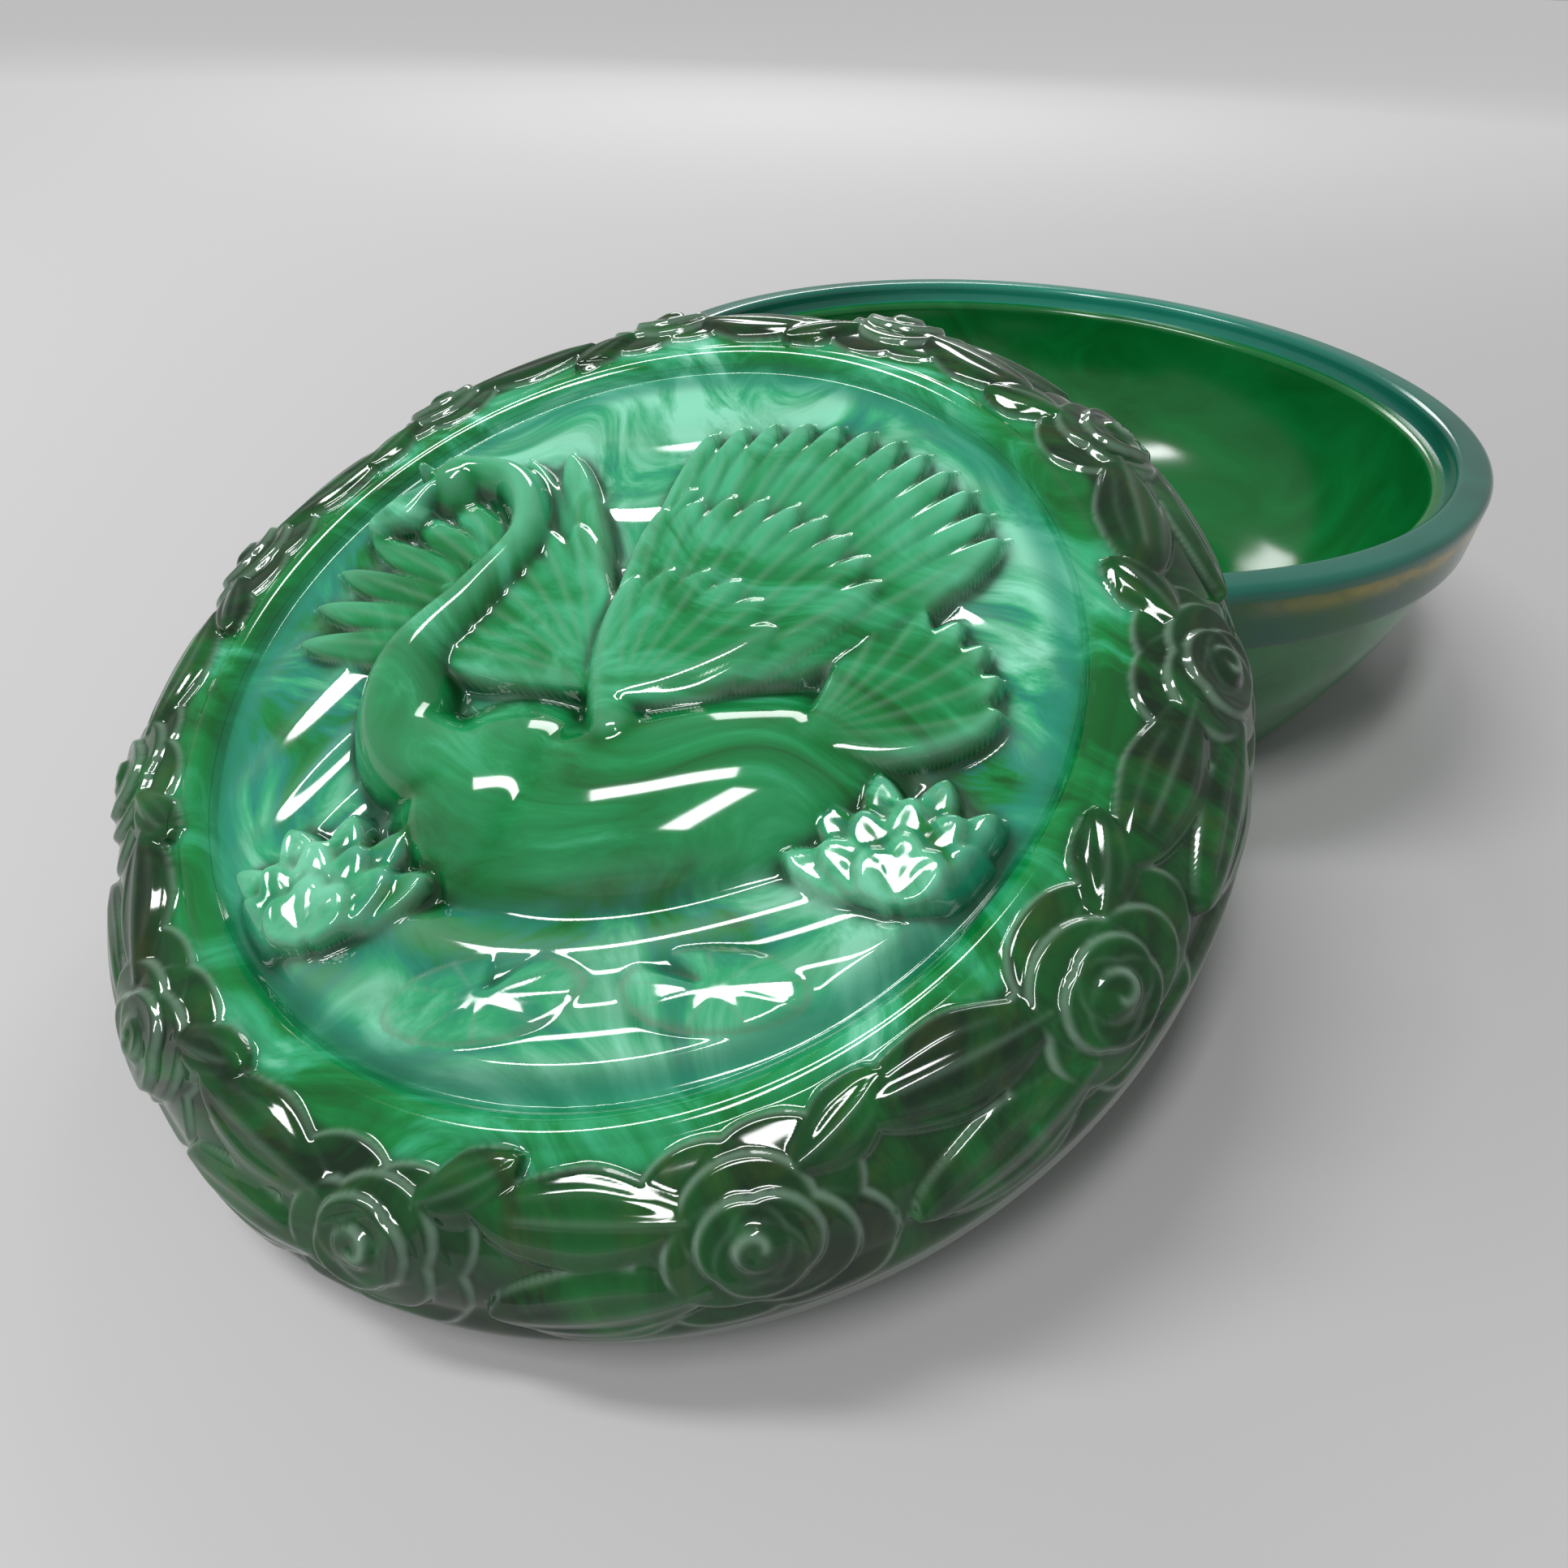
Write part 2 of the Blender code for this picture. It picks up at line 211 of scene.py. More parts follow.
def settings(context):
    """The four groups of settings."""
    scene = context.scene
    return scene.glass_bowl, scene.glass_lid, scene.glass_colours, scene.glass_stage


# Small functions on whole arrays

def ease(low, high, x):
    """Smooth step: 0 below low, 1 above high, cubic between; low may be above high."""
    share = np.clip((x - low) / (high - low), 0.0, 1.0)
    return share * share * (3.0 - 2.0 * share)


def soft_max(a, b, width):
    """Larger of two heights with a rounded inner corner of about the given width."""
    return 0.5 * (a + b + np.sqrt((a - b) ** 2 + width * width))


def turned_about(x, y, centre, turn):
    """Coordinates along and across an axis that starts at a centre and is turned by an angle."""
    c, s = math.cos(turn), math.sin(turn)
    dx, dy = x - centre[0], y - centre[1]
    return dx * c + dy * s, dy * c - dx * s


def mass(x, y, centre, axes, turn_degrees, fullness=2.3):
    """Rounded mass: 1 at the middle of an ellipse, falling as 1 - rho^fullness, below 0 outside."""
    u, v = turned_about(x, y, centre, math.radians(turn_degrees))
    rho = np.hypot(u / axes[0], v / axes[1])
    return 1.0 - np.minimum(rho, 3.0) ** fullness


def smooth_path(points, count):
    """Cubic curve through given points b, c with neighbours a, d, as an array of count points.

    Its direction at b is (c - a) / 2 and at c it is (d - b) / 2.
    """
    p = np.asarray(points, float)
    p = np.vstack([2 * p[0] - p[1], p, 2 * p[-1] - p[-2]])
    t = np.linspace(0.0, len(points) - 1 - 1e-9, count)
    i = t.astype(int)
    f = (t - i)[:, None]
    a, b, c, d = p[i], p[i + 1], p[i + 2], p[i + 3]
    square = 2 * a - 5 * b + 4 * c - d
    cube = 3 * b - a - 3 * c + d
    return 0.5 * (2 * b + (c - a) * f + square * f ** 2 + cube * f ** 3)


def along_path(x, y, path):
    """Distance of every point from a path of straight steps, and the share of the path there."""
    best = np.full(x.shape, np.inf)
    share = np.zeros(x.shape)
    steps = len(path) - 1
    for i in range(steps):
        ax, ay = path[i]
        ex, ey = path[i + 1] - path[i]
        run = ex * ex + ey * ey
        t = np.clip(((x - ax) * ex + (y - ay) * ey) / run, 0.0, 1.0)
        gap = np.hypot(x - ax - t * ex, y - ay - t * ey)
        near = gap < best
        best = np.where(near, gap, best)
        share = np.where(near, (i + t) / steps, share)
    return best, share


def tongue(x, y, base, degrees, reach, half, bend=0.0, point=1.0):
    """Feather, petal or blade: shares along it (0 base, 1 tip) and across it (-1 to 1 at its edges).

    The half-width opens from the base and closes at the tip; point 1 rounds the tip and larger values
    sharpen it. The middle line bends as a parabola.
    """
    u, v = turned_about(x, y, base, math.radians(degrees))
    u = u / reach
    v = v - bend * reach * u * u
    inner = np.clip(u, 0.0, 1.0)
    opening = 0.30 + 0.70 * ease(-0.1, 0.55, inner)
    closing = np.maximum(1.0 - inner ** (5.0 / point), 0.0) ** 0.5
    across = v / np.maximum(half * opening * closing, 0.12 * half)
    outside = np.maximum(np.abs(u - 0.5) - 0.5, 0.0) * 24.0
    return inner, np.sign(across) * np.minimum(np.abs(across) + outside, 3.0)


class Relief:
    """A height in millimetres over a plane, with a mask of pale edges for wear and painted highlight,
    built up back to front.
    """

    def __init__(self, x, y):
        self.x, self.y = x, y
        self.height = np.zeros(x.shape)
        self.ridge = np.zeros(x.shape)
        self.body = np.zeros(x.shape)

    def lay(self, height, edge, body=1.0):
        """Lay a form over what is there: it shows where it is the higher one."""
        wins = ease(-LAY_REACH, LAY_REACH, height - self.height)
        self.height = soft_max(self.height, height, LAY_FILLET)
        self.ridge = self.ridge * (1.0 - wins) + edge * wins
        self.body = self.body * (1.0 - wins) + body * wins

    def blend(self, height, width):
        """Melt a rounded mass into what is there, with a fillet of the given width."""
        wins = ease(-width, width, height - self.height)
        self.height = soft_max(self.height, height, width)
        self.ridge = self.ridge * (1.0 - wins)
        self.body = self.body * (1.0 - wins) + wins

    def feather(self, base, degrees, reach, half, root, tip, bend, shingle):
        """One feather, root high and tip low: crowned across, with a quill, tilted over its neighbour."""
        u, v = tongue(self.x, self.y, base, degrees, reach, half, bend)
        slope = root + (tip - root) * u + shingle * np.clip(v, -1.3, 1.3)
        crown = slope + 0.35 * (1.0 - np.minimum(v * v, 4.0))
        quill = np.exp(-(v / 0.13) ** 2) * ease(0.02, 0.2, u) * ease(1.0, 0.8, u)
        edge = 2.6 * np.minimum(np.abs(v), 3.0) ** 7
        worn_and_highlit = 0.55 * np.exp(-((np.abs(v) - 0.86) / 0.10) ** 2) + 0.25 * quill
        self.lay(crown + 0.22 * quill - edge, worn_and_highlit * ease(0.0, 0.3, u))

    def petal(self, base, degrees, reach, half, low, high, cup=0.5, point=2.2):
        """One lily petal: cupped, with raised edges and a pointed tip."""
        u, v = tongue(self.x, self.y, base, degrees, reach, half, 0.0, point)
        rise = low + (high - low) * u + cup * np.minimum(v * v, 1.2)
        rib = np.exp(-(v / 0.20) ** 2) * ease(0.95, 0.6, u)
        edge = 2.2 * np.minimum(np.abs(v), 3.0) ** 6
        worn_and_highlit = 0.5 * np.exp(-((np.abs(v) - 0.84) / 0.12) ** 2) + 0.2 * rib
        self.lay(rise + 0.20 * rib - edge, worn_and_highlit, 0.45)


def fan(relief, base, count, first, last, reach, half, root, tip, bends, shingle):
    """Row of feathers that opens from one base, the middle ones a little longer."""
    for i in range(count):
        share = i / (count - 1)
        grown = reach * (0.88 + 0.12 * math.sin(math.pi * (0.12 + 0.76 * share)))
        relief.feather(base, first + (last - first) * share, grown, half, root, tip,
                       bends[0] + (bends[1] - bends[0]) * share, shingle)


def swan_wings(relief):
    """Far wing in two rows behind the neck, then near wing in three rows under its rounded arm."""
    far, near = (-0.06, -0.08), (0.04, -0.17)
    # Base, feathers, first and last angle, reach, half width, height of root and tip, bends, tilt
    rows = (
        (far, 9, 150, 98, 0.90, 0.074, 3.0, 1.6, (0.20, 0.04), -0.4),
        (far, 7, 148, 98, 0.58, 0.076, 3.8, 2.9, (0.16, 0.04), -0.4),
        (near, 12, 10, 88, 0.95, 0.078, 5.6, 2.3, (0.22, -0.14), 0.4),
        (near, 9, 12, 92, 0.64, 0.078, 6.4, 4.5, (0.20, -0.12), 0.4),
        (near, 6, 14, 96, 0.38, 0.080, 7.0, 6.0, (0.14, -0.10), 0.4),
    )
    for row in rows:
        fan(relief, *row)
    arm = smooth_path([(0.02, -0.24), (-0.01, 0.02), (0.05, 0.26), (0.15, 0.47)], 24)
    gap, share = along_path(relief.x, relief.y, arm)
    crest = (7.6 - 3.2 * share) - 4.0 * np.minimum(gap / (0.085 - 0.045 * share), 3.0) ** 2.2
    relief.blend(crest, 0.25)


def swan_body(relief):
    """Body, breast, tail, S-shaped neck, head and bill."""
    x, y = relief.x, relief.y
    fan(relief, (0.42, -0.30), 6, 48, -10, 0.42, 0.080, 4.6, 2.2, (0.25, 0.20), -0.4)
    relief.blend(7.6 * mass(x, y, (0.10, -0.37), (0.56, 0.29), 3), 0.5)
    relief.blend(7.0 * mass(x, y, (-0.26, -0.31), (0.27, 0.27), 25), 0.8)
    path = smooth_path([(-0.28, -0.30), (-0.50, -0.16), (-0.53, 0.06), (-0.39, 0.25), (-0.28, 0.43),
                        (-0.33, 0.62), (-0.48, 0.69)], 72)
    gap, share = along_path(x, y, path)
    half = 0.155 - 0.080 * ease(0.0, 0.75, share)
    relief.blend((6.9 - 1.4 * share) * (1.0 - np.minimum(gap / half, 3.0) ** 2.2), 0.3)
    relief.blend(5.8 * mass(x, y, (-0.50, 0.66), (0.130, 0.096), 24), 0.35)
    bill, across = tongue(x, y, (-0.55, 0.63), 214, 0.21, 0.066, -0.12, 1.6)
    ridge = 4.9 - 1.7 * bill + 0.4 * (1.0 - np.minimum(across ** 2, 4.0)) - 2.4 * np.abs(across) ** 5
    relief.lay(ridge, np.zeros(x.shape), 0.5)
    relief.lay(6.4 * mass(x, y, (-0.580, 0.680), (0.036, 0.030), 20), np.zeros(x.shape), 0.8)
    relief.lay(6.3 * mass(x, y, (-0.505, 0.690), (0.022, 0.020), 0), np.full(x.shape, 0.5), 0.9)


def water(relief):
    """Ripples that spread as ellipses from the swan and hide its lower edge."""
    x, y = relief.x, relief.y
    rho = np.hypot((x - 0.04) / 0.62, (y + 0.46) / 0.25)
    line = -0.60 + 0.12 * (x - 0.04) ** 2
    crest = (0.5 + 0.5 * np.cos(2 * math.pi * (rho * 2.1 + 0.06 * np.sin(7.0 * x)))) ** 1.1
    level = 1.5 + 0.42 * crest * ease(3.6, 1.2, rho) + 0.25 * np.sin(9.0 * x + 3.0 * y)
    shown = ease(0.04, -0.04, y - line)
    relief.height = relief.height * (1.0 - shown) + level * shown
    # The ripple crests are painted pale, as wear and highlight.
    relief.ridge = relief.ridge * (1.0 - shown) + 0.35 * crest * shown
    relief.body = relief.body * (1.0 - shown) + 0.10 * shown


def lily_pad(relief, centre, axes, turn, notch):
    """Floating leaf: a low disc with a raised rim, radial veins and a notch."""
    u, v = turned_about(relief.x, relief.y, centre, math.radians(turn))
    u, v = u / axes[0], v / axes[1]
    rho, phi = np.hypot(u, v), np.arctan2(v, u)
    vein = np.exp(-(np.sin(4.5 * (phi - notch)) / 0.16) ** 2)
    vein = vein * ease(0.05, 0.2, rho) * ease(0.95, 0.7, rho)
    wedge = ease(0.30, 0.18, np.abs(np.angle(np.exp(1j * (phi - notch))))) * ease(0.1, 0.3, rho)
    rim = np.exp(-((rho - 0.90) / 0.10) ** 2)
    height = 1.9 + 0.16 * rim + 0.14 * vein + 0.70 * (1.0 - rho ** 2)
    edge = 2.6 * np.minimum(rho, 2.0) ** 12
    relief.lay(height - edge - 1.2 * wedge, 0.7 * rim + 0.4 * vein, 0.35)


def lily(relief, centre, size, turn):
    """Water-lily flower: three rows of pointed petals, each row in front of the one before it."""
    # Reach, height of base and tip, half of the spread in degrees, petals
    rows = ((1.0, 2.4, 3.6, 76, 6), (0.80, 3.2, 4.3, 58, 5), (0.52, 3.9, 4.7, 34, 3))
    for k, (reach, low, high, spread, count) in enumerate(rows):
        base = (centre[0], centre[1] - 0.06 * size * k)
        for i in sorted(range(count), key=lambda i: -abs(i - (count - 1) / 2)):
            off = (i / (count - 1) - 0.5) * 2 * spread
            grown = size * reach * (1.0 - 0.12 * abs(off) / spread)
            relief.petal(base, turn + off, grown, 0.26 * size, low, high)


def medallion_relief(x, y):
    """Relief of the medallion over its unit disc: swan with raised wings on a lily pond."""
    relief = Relief(x, y)
    waver = 0.35 * np.sin(5.2 * x + 1.0) + 0.25 * np.sin(4.1 * y - 2.6 * x)
    sweep = np.hypot(x - 0.2, y + 1.1) * 5.2 + waver
    fold = (1.0 - np.abs(np.sin(math.pi * sweep))) ** 1.3
    relief.height = 0.15 + 0.75 * fold * ease(0.96, 0.70, np.hypot(x, y))
    # The fold crests are painted pale, as highlight.
    relief.ridge = 0.25 * fold
    swan_wings(relief)
    swan_body(relief)
    water(relief)
    lily_pad(relief, (-0.22, -0.79), (0.23, 0.105), 4, 1.2)
    lily_pad(relief, (0.24, -0.81), (0.21, 0.095), -8, 2.4)
    lily(relief, (-0.60, -0.62), 0.28, 100)
    lily(relief, (0.58, -0.66), 0.26, 78)
    fade = ease(1.0, 0.93, np.hypot(x, y))
    relief.height *= fade
    relief.ridge *= fade
    relief.body *= fade
    return relief


def rose(relief, centre, scale, turn):
    """Garland rose in millimetres: rings of broad cupped petals with pale rims round a coiled bud."""
    x = (relief.x - centre[0]) / (1.32 * scale)
    y = (relief.y - centre[1]) / (1.06 * scale)
    lift = 0.55 * (1.0 - np.minimum(np.hypot(x, y) / 9.6, 1.5) ** 2)
    # Petals, distance of their middles, radius, height, turn of the first
    rings = ((4, 4.1, 5.7, 0.10, 0.0), (3, 2.1, 4.7, 0.62, 0.7), (3, 1.0, 3.3, 1.12, 1.7))
    for count, away, radius, level, start in rings:
        for i in range(count):
            around = turn + start + 2 * math.pi * (i + 0.14 * math.sin(5.0 * i + turn)) / count
            u, v = turned_about(x, y, (away * math.cos(around), away * math.sin(around)), around)
            gap = np.hypot(u, v * (0.94 + 0.05 * (i % 2))) / radius
            cup = level + lift + 0.75 * np.minimum(gap, 1.2) ** 4 + 0.16 * u / radius
            rim = np.exp(-((gap - 0.90) / (0.52 / radius)) ** 2)
            worn_and_highlit = np.exp(-((gap - 0.93) / (0.24 / radius)) ** 2)
            relief.lay(cup + 0.24 * rim - 2.1 * np.minimum(gap, 2.0) ** 11, worn_and_highlit)
    spin = np.hypot(x, y)
    swirl = 0.5 + 0.5 * np.cos(np.arctan2(y, x) - 2.4 * spin + turn)
    relief.lay(1.62 + lift + 0.36 * swirl - 1.2 * np.minimum(spin / 1.9, 2.0) ** 8, swirl ** 8)


def leaf(relief, base, degrees, reach, half, bend):
    """Broad pointed leaf in millimetres with three ribs along it and a pale raised edge."""
    u, v = tongue(relief.x, relief.y, base, degrees, reach, half, bend, 2.2)
    outer = 0.8 * np.exp(-((np.abs(v) - 0.46) / 0.10) ** 2) * ease(0.10, 0.3, u)
    ribs = (np.exp(-(v / 0.11) ** 2) + outer) * ease(0.97, 0.75, u)
    crown = 0.55 + 0.75 * (1.0 - np.minimum(v * v, 2.0)) + 0.22 * ribs
    rim = np.exp(-((np.abs(v) - 0.87) / 0.11) ** 2)
    worn_and_highlit = np.exp(-((np.abs(v) - 0.92) / 0.05) ** 2) + 0.4 * ribs ** 4
    relief.lay(crown + 0.42 * rim - 1.7 * np.minimum(np.abs(v), 3.0) ** 7, worn_and_highlit)


def garland_relief(x, y, pitch, count):
    """Relief of the garland over distance along it and across it, in millimetres.

    Each rose is drawn over the leaves that fan back from it towards the rose before it. The garland
    closes on itself, so the first and last motifs are laid on both sides of the seam.
    """
    relief = Relief(x, y)
    rng = np.random.default_rng(11)
    turns = rng.uniform(0, 2 * math.pi, count)
    sizes = rng.uniform(0.94, 1.06, count)
    places = [(k, k * pitch) for k in range(count)] + [(count - 1, -pitch), (0, count * pitch)]
    for k, middle in places:
        close = np.abs(x - middle + 0.4 * pitch) < pitch
        part = Relief(x[close], y[close])
        part.height, part.ridge = relief.height[close], relief.ridge[close]
        leaf(part, (middle + 5.0, 3.6), 12 + 6 * (k % 3), 11.0, 4.0, 0.1)
        leaf(part, (middle - 5.0, -3.6), 190, 19.0, 5.4, -0.10)
        leaf(part, (middle - 5.0, 2.0), 171 - 5 * (k % 2), 20.0, 5.4, 0.08)
        rose(part, (middle, -0.9), sizes[k], turns[k])
        relief.height[close], relief.ridge[close] = part.height, part.ridge
    return relief


# Lid and bowl surfaces

def arc(centre, axes, start, end, points):
    """Elliptic arc in a profile plane, angles in degrees from +X."""
    turn = np.radians(np.linspace(start, end, points))
    return np.stack([centre[0] + axes[0] * np.cos(turn), centre[1] + axes[1] * np.sin(turn)], 1)


def resample(profile, count):
    """The same profile with count points evenly spaced along it, and the distance at each."""
    gaps = np.hypot(*np.diff(profile, axis=0).T)
    distance = np.concatenate([[0.0], np.cumsum(gaps)])
    even = np.linspace(0.0, distance[-1], count)
    return np.stack([np.interp(even, distance, profile[:, k]) for k in (0, 1)], 1), even


def lid_frame(lid):
    """Turn of the lid's own axes and its middle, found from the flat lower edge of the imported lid."""
    turn = Matrix.Rotation(lid.direction, 3, "Z")
    turn = np.array(turn @ Matrix.Rotation(lid.tilt, 3, "Y") @ turn.inverted())
    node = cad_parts["lid"]
    points = np.empty(len(node.data.vertices) * 3)
    node.data.vertices.foreach_get("co", points)
    points = points.reshape(-1, 3)
    level = points @ turn[:, 2]
    edge = np.unique(np.round(points[level < level.min() + 1e-5], 6), axis=0)
    return turn, edge.mean(axis=0)


def lid_radius(bowl, lid):
    """Outer radius of the lid, whose skirt drops inside the bowl's rim."""
    return bowl.rim_radius - bowl.rim_width - lid.clearance


def field_height(lid, radius):
    """Height of the dished medallion above the lid's edge."""
    return lid.field_edge - lid.field_dish * (1.0 - (radius / lid.field_radius) ** 2)


def seam_radius(lid):
    """Where the medallion's piece meets the garland's, just outside the relief."""
    return lid.field_radius * SEAM_SHARE


def top_height(lid, radius):
    """Ground of the medallion and the smooth ring: dish, then a crowned ring up to the garland."""
    share = np.clip((radius - lid.field_radius) / (lid.garland_radius - lid.field_radius), 0.0, 1.0)
    ring_end = lid.shoulder_height - lid.garland_sink
    slope = lid.field_edge + (ring_end - lid.field_edge) * share
    crown = lid.ring_rise * np.sin(math.pi * share)
    return np.where(radius < lid.field_radius, field_height(lid, radius), slope + crown)


def ring_mask(lid, radius):
    """1 on the smooth ring outside the medallion's edge, 0 inside it."""
    return ease(lid.field_radius * 0.92, lid.field_radius * 1.03, radius)


def running_mean(height, passes):
    """Height over a grid after averaging each point with its four neighbours, as often as asked."""
    for _ in range(passes):
        p = np.pad(height, 1, mode="edge")
        height = (2 * height + p[:-2, 1:-1] + p[2:, 1:-1] + p[1:-1, :-2] + p[1:-1, 2:]) / 6
    return height


def grooves_and_crests(height):
    """How far each point lies below and above the running mean around it, 1 at GROOVE_DEPTH; the lid
    paints the first as shade in its hollows and the second as highlight on its crests.
    """
    step = (height - running_mean(height, GROOVE_PASSES)) / GROOVE_DEPTH
    return np.clip(-step, 0.0, 1.0), np.clip(step, 0.0, 1.0)


def new_object(name, points, faces, material, attributes, crease=math.pi):
    """Mesh object at the origin with point attributes, one material and smooth shading up to an angle."""
    mesh = bpy.data.meshes.new(name)
    mesh.from_pydata(points, [], faces)
    for key, values in attributes.items():
        kind, field = ("FLOAT", "value") if values.ndim == 1 else ("FLOAT_VECTOR", "vector")
        layer = mesh.attributes.new(key, kind, "POINT")
        layer.data.foreach_set(field, np.ascontiguousarray(values, np.float32).ravel())
    mesh.shade_smooth()
    mesh.materials.append(material)
    mesh.validate()
    mesh.set_sharp_from_angle(angle=crease)
    obj = bpy.data.objects.new(name, mesh)
    bpy.context.scene.collection.objects.link(obj)
    return obj


def grid_faces(rows, columns, wrap_rows=False, wrap_columns=False):
    """Quads of a grid of points numbered row by row, closed where it wraps."""
    r = np.arange(rows if wrap_rows else rows - 1)
    c = np.arange(columns if wrap_columns else columns - 1)
    a, b = np.meshgrid(r, c, indexing="ij")
    here, there = a * columns, (a + 1) % rows * columns
    b2 = (b + 1) % columns
    return np.stack([here + b, there + b, there + b2, here + b2], -1).reshape(-1, 4)


def build_medallion(context, side=308):
    """Medallion: a square grid mapped to a disc and raised by the relief, closed by a wall and ceiling.

    The square (a, b) maps to the disc by x = a sqrt(1 - b^2/2), y = b sqrt(1 - a^2/2). The relief is
    worked out on a finer grid, smoothed there and thinned, so that steep feather edges stay clean.
    """
    _, lid, colours, _ = settings(context)
    ticks = np.linspace(-1, 1, FINER * (side - 1) + 1)
    a, b = np.meshgrid(ticks, ticks, indexing="xy")
    seam = seam_radius(lid)
    x = seam * a * np.sqrt(1.0 - b * b / 2)
    y = seam * b * np.sqrt(1.0 - a * a / 2)
    c, s = math.cos(lid.medallion_turn), math.sin(lid.medallion_turn)
    relief = medallion_relief((x * c + y * s) / lid.field_radius, (y * c - x * s) / lid.field_radius)
    height = running_mean(relief.height, MELT_PASSES * FINER ** 2)
    grids = (x, y, height, relief.ridge, relief.body)
    x, y, height, ridge, body = (grid[::FINER, ::FINER] for grid in grids)
    z = top_height(lid, np.hypot(x, y)) + height * MM
    top = np.stack([x, y, z], -1).reshape(-1, 3)
    index = np.arange(side * side).reshape(side, side)
    border = np.concatenate([index[0, :-1], index[:-1, -1], index[-1, :0:-1], index[:0:-1, 0]])
    low = top[border].copy()
    low[:, 2] = field_height(lid, 0.0) - lid.wall
    count = len(top)
    wall = np.arange(count, count + len(border))
    sides = np.stack([border, wall, np.roll(wall, -1), np.roll(border, -1)], 1)
    faces = grid_faces(side, side)[:, ::-1].tolist() + sides.tolist() + [wall[::-1].tolist()]
    local = np.vstack([top, low])
    turn, middle = lid_frame(lid)
    fill = np.zeros(len(border))
    groove, crest = grooves_and_crests(height)
    masks = {"ridge": ridge, "body": body, "groove": groove, "crest": crest}
    attributes = {key: np.concatenate([grid.ravel(), fill]) for key, grid in masks.items()}
    attributes["garland"] = np.zeros(len(local))
    attributes["ring"] = ring_mask(lid, np.hypot(local[:, 0], local[:, 1]))
    attributes["flow"] = local * FLOW_SCALE
    placed = local @ turn.T + middle
    return new_object("lid_medallion", placed, faces, lid_glass(colours), attributes, LID_CREASE)


def garland_ground(bowl, lid):
    """Top profile of the lid's outer part: ring, shoulder lowered to the garland's ground, skirt."""
    outer = lid_radius(bowl, lid)
    radii = np.linspace(seam_radius(lid), lid.garland_radius, 30)
    ring = np.stack([radii, top_height(lid, radii)], 1)
    axes = np.array([outer - lid.garland_radius, lid.shoulder_height - lid.skirt_height])
    centre = (lid.garland_radius, lid.skirt_height)
    shoulder = arc(centre, axes, 88, 0, 120)
    out = (shoulder - centre) / axes ** 2
    out /= np.linalg.norm(out, axis=1)[:, None]
    sunk = lid.garland_sink * ease(0.0, 0.22, np.linspace(1, 0, len(shoulder)))
    skirt = np.array([(outer, lid.skirt_height * 0.5), (outer, lid.edge_round * 1.6)])
    foot = np.array([(outer, lid.edge_round), (outer - lid.edge_round, 0.0)])
    return np.vstack([ring, (shoulder - out * sunk[:, None])[1:], skirt, foot])


def lid_underside(bowl, lid):
    """Profile under the lid: flat edge, rounded corner of the hollow and its ceiling up to the seam."""
    inner = lid_radius(bowl, lid) - lid.edge_width
    ceiling = field_height(lid, 0.0) - lid.wall
    corner = arc((inner - lid.hollow_corner, 0.0), (lid.hollow_corner, ceiling), 0, 90, 14)
    return np.vstack([corner, [(seam_radius(lid), ceiling)]])


